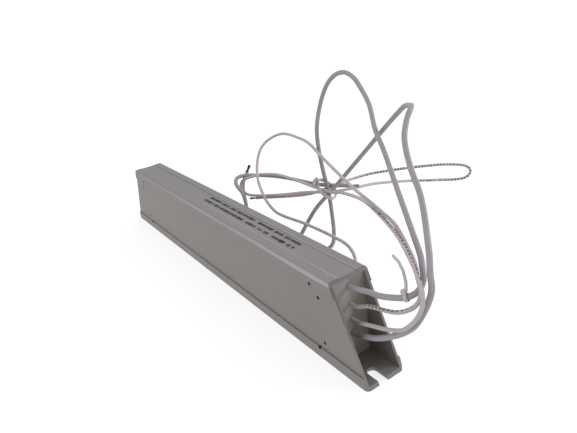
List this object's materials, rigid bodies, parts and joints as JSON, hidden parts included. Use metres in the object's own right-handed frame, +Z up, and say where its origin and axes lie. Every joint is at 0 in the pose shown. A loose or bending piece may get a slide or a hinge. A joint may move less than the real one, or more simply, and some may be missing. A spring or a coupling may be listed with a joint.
{
  "type": "aluminium housed power resistor",
  "caption": "Tall extruded aluminium housing with raked, slotted ends around sand-filled wire-wound elements, sealed with cement plugs, with tied flying leads looping out of the front end.",
  "frame": {"origin": "centre of the underside of the base", "axes": "+X along the housing, towards the end with the leads; +Y across the housing; +Z up from the base"},
  "size_m": [0.5282, 0.3036, 0.2022],
  "materials": {
    "housing": "matte, warm grey anodised extrusion, brighter on the worn top edges",
    "mica": "mica sheet, semi-matt",
    "sand": "packed quartz sand, matte",
    "core": "unglazed alumina, matte",
    "winding": "resistance alloy ribbon, satin",
    "steel_caps": "plated steel, satin",
    "crimps": "copper crimp, satin",
    "switch_case": "moulded phenolic, matte",
    "switch_cap": "pressed steel cap, satin",
    "blades": "brass blade, satin",
    "barrier": "pressed ceramic fibre board, matte",
    "cement": "grey sealing cement, matte",
    "power_sleeve": "silicone sleeve, grey-lilac, semi-matt",
    "switch_sleeve": "braided glass-fibre sleeve, off-white with dark flecks",
    "copper": "bare copper strands, darkened",
    "nylon": "natural nylon, semi-matt"
  },
  "bodies": {
    "root": {"housing": "housing", "mica_liner_near": "mica", "mica_liner_far": "mica", "sand_fill": "sand", "core_upper": "core", "core_lower": "core", "winding_upper": "winding", "winding_lower": "winding", "front_cap_upper": "steel_caps", "front_cap_lower": "steel_caps", "rear_cap_upper": "steel_caps", "rear_cap_lower": "steel_caps", "series_link": "steel_caps", "power_crimp_upper": "crimps", "power_crimp_lower": "crimps", "switch_crimp_upper": "crimps", "switch_crimp_lower": "crimps", "switch_case": "switch_case", "switch_cap": "switch_cap", "switch_blade_upper": "blades", "switch_blade_lower": "blades", "front_barrier": "barrier", "rear_barrier": "barrier", "front_plug": "cement", "rear_plug": "cement", "power_lead_upper": "power_sleeve", "power_lead_lower": "power_sleeve", "switch_lead_upper": "switch_sleeve", "switch_lead_lower": "switch_sleeve", "power_end_upper": "copper", "power_end_lower": "copper", "switch_end_upper": "copper", "switch_end_lower": "copper", "bundle_tie": "nylon", "lead_tie": "nylon"}
  },
  "joints": []
}
